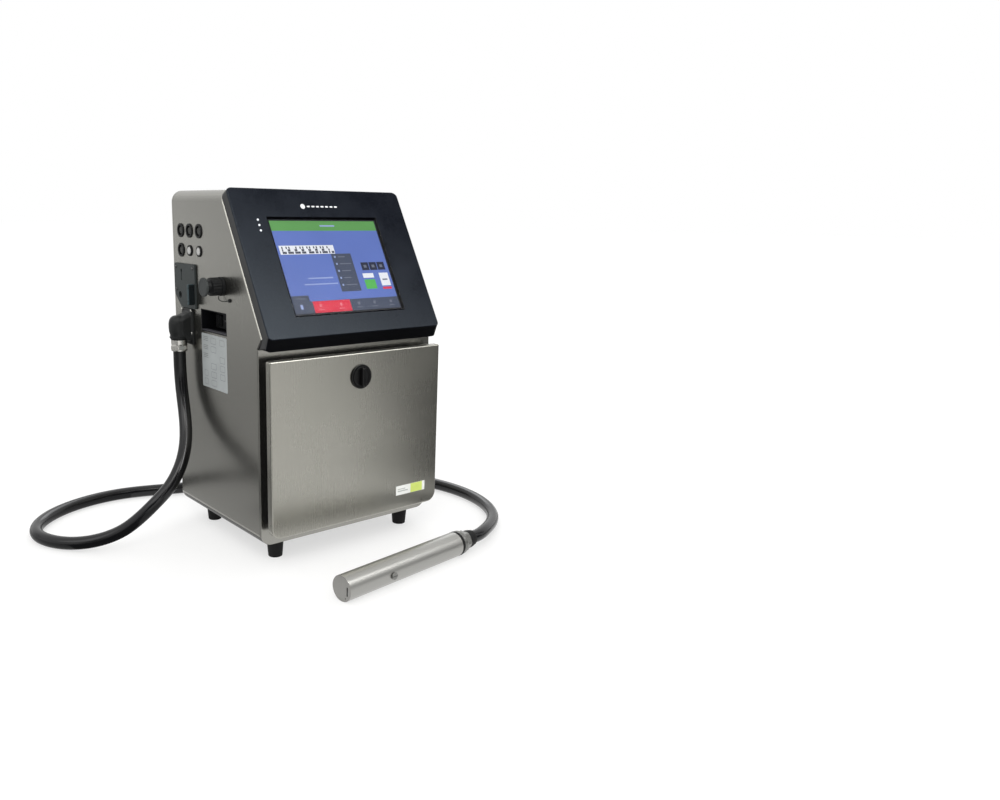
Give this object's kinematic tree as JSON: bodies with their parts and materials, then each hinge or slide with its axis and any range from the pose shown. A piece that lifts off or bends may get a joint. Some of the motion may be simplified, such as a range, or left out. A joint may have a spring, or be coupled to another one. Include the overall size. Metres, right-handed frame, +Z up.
{
  "type": "date code inkjet printer",
  "caption": "Stainless cabinet coder with a sloping touch panel, hinged ink door, side umbilical hose and cylindrical print head that prints codes on passing packs.",
  "frame": {"origin": "on the floor, under the middle of the box that holds the cabinet and the print head, the hose left out", "axes": "+Z up, -Y the side with the door and the operator panel, +X to the operator's right"},
  "size_m": [0.7834, 0.6665, 0.6029],
  "materials": {
    "stainless": "grained stainless sheet",
    "machined_steel": "machined stainless",
    "head_steel": "fine-turned stainless tube",
    "plated_steel": "nickel plated",
    "aluminium": "satin",
    "black_plastic": "fine moulded texture",
    "grey_plastic": "moulded",
    "black_rubber": "matte",
    "hose_rubber": "smooth sheath with a soft sheen",
    "screen_glass": "clear touch glass",
    "display": "lit display",
    "lamp": "clear light pipe",
    "circuit_board": "solder mask",
    "ink_tank": "moulded tank",
    "makeup_tank": "translucent white tank",
    "blue_cap": "moulded cap",
    "tubing": "clear tubing"
  },
  "bodies": {
    "cabinet": {"cabinet_wrapper": "stainless", "charge_electrode": "aluminium", "deflector_plates": "plated_steel", "display_board": "circuit_board", "drip_tray": "stainless", "fan_frame": "black_plastic", "foot_front_left": "black_rubber", "foot_front_right": "black_rubber", "foot_rear_left": "black_rubber", "foot_rear_right": "black_rubber", "front_frame": "stainless", "gland_nut": "plated_steel", "gutter_block": "machined_steel", "head_chassis": "aluminium", "head_gland_nut": "plated_steel", "head_rear_cap": "head_steel", "head_seal_ring": "black_rubber", "hinge_bracket_lower": "machined_steel", "hinge_bracket_upper": "machined_steel", "hmi_bezel": "black_plastic", "hydraulic_plate": "stainless", "ink_feed_tube": "tubing", "ink_filter": "makeup_tank", "ink_pump": "plated_steel", "ink_tank": "ink_tank", "interlock_block": "black_plastic", "lcd_module": "display", "main_board": "circuit_board", "makeup_feed_tube": "tubing", "makeup_tank": "makeup_tank", "mid_shelf": "stainless", "nozzle_block": "machined_steel", "power_inlet": "black_plastic", "power_recess": "black_plastic", "power_supply": "aluminium", "rear_panel": "stainless", "service_port": "black_plastic", "signal_sockets_lower": "black_plastic", "signal_sockets_upper": "black_plastic", "status_light_pipe": "lamp", "touch_glass": "screen_glass", "umbilical_elbow": "black_plastic", "umbilical_hose": "hose_rubber", "umbilical_lead": "tubing", "umbilical_plate": "grey_plastic", "valve_manifold": "aluminium"},
    "door": {"door_panel": "stainless", "door_gasket": "black_rubber", "hinge_knuckle_upper": "machined_steel", "hinge_knuckle_lower": "machined_steel", "latch_housing": "black_plastic"},
    "latch": {"latch_knob": "black_plastic", "latch_cam": "plated_steel"},
    "print_head_cover": {"head_cover": "head_steel"},
    "print_head_screw": {"cover_screw": "plated_steel"},
    "rocker": {"power_rocker": "black_plastic"},
    "service_cap": {"port_cap": "grey_plastic"},
    "fan": {"fan_rotor": "black_plastic"},
    "ink_tank_cap": {"ink_cap": "black_plastic"},
    "makeup_tank_cap": {"makeup_cap": "blue_cap"}
  },
  "joints": [
    {"name": "door_hinge", "type": "hinge", "parent": "cabinet", "child": "door", "pos_m": [0.1873, -0.0555, 0.197], "axis": [0, 0, 1], "range_deg": [0, 110]},
    {"name": "latch_turn", "type": "hinge", "parent": "door", "child": "latch", "pos_m": [0.0188, -0.0775, 0.302], "axis": [0, 1, 0], "range_deg": [0, 90]},
    {"name": "head_cover_slide", "type": "slide", "parent": "cabinet", "child": "print_head_cover", "axis": [-0.9935, -0.1141, 0], "range_m": [0, 0.27]},
    {"name": "cover_screw_turn", "type": "hinge", "parent": "print_head_cover", "child": "print_head_screw", "pos_m": [-0.03542, -0.24085, 0.02075], "axis": [0.1141, -0.9935, 0], "continuous": true},
    {"name": "power_rocker_tilt", "type": "hinge", "parent": "cabinet", "child": "rocker", "pos_m": [-0.1297, 0.1205, 0.384], "axis": [0, 0, 1], "range_deg": [0, 14]},
    {"name": "port_cap_turn", "type": "hinge", "parent": "cabinet", "child": "service_cap", "pos_m": [-0.1562, 0.0685, 0.4465], "axis": [-1, 0, 0], "continuous": true},
    {"name": "fan_spin", "type": "hinge", "parent": "cabinet", "child": "fan", "pos_m": [0.0188, 0.236, 0.5], "axis": [0, 1, 0], "continuous": true},
    {"name": "ink_cap_turn", "type": "hinge", "parent": "cabinet", "child": "ink_tank_cap", "pos_m": [-0.0532, 0.0575, 0.2], "axis": [0, 0, 1], "continuous": true},
    {"name": "makeup_cap_turn", "type": "hinge", "parent": "cabinet", "child": "makeup_tank_cap", "pos_m": [0.0908, 0.0575, 0.2], "axis": [0, 0, 1], "continuous": true}
  ]
}
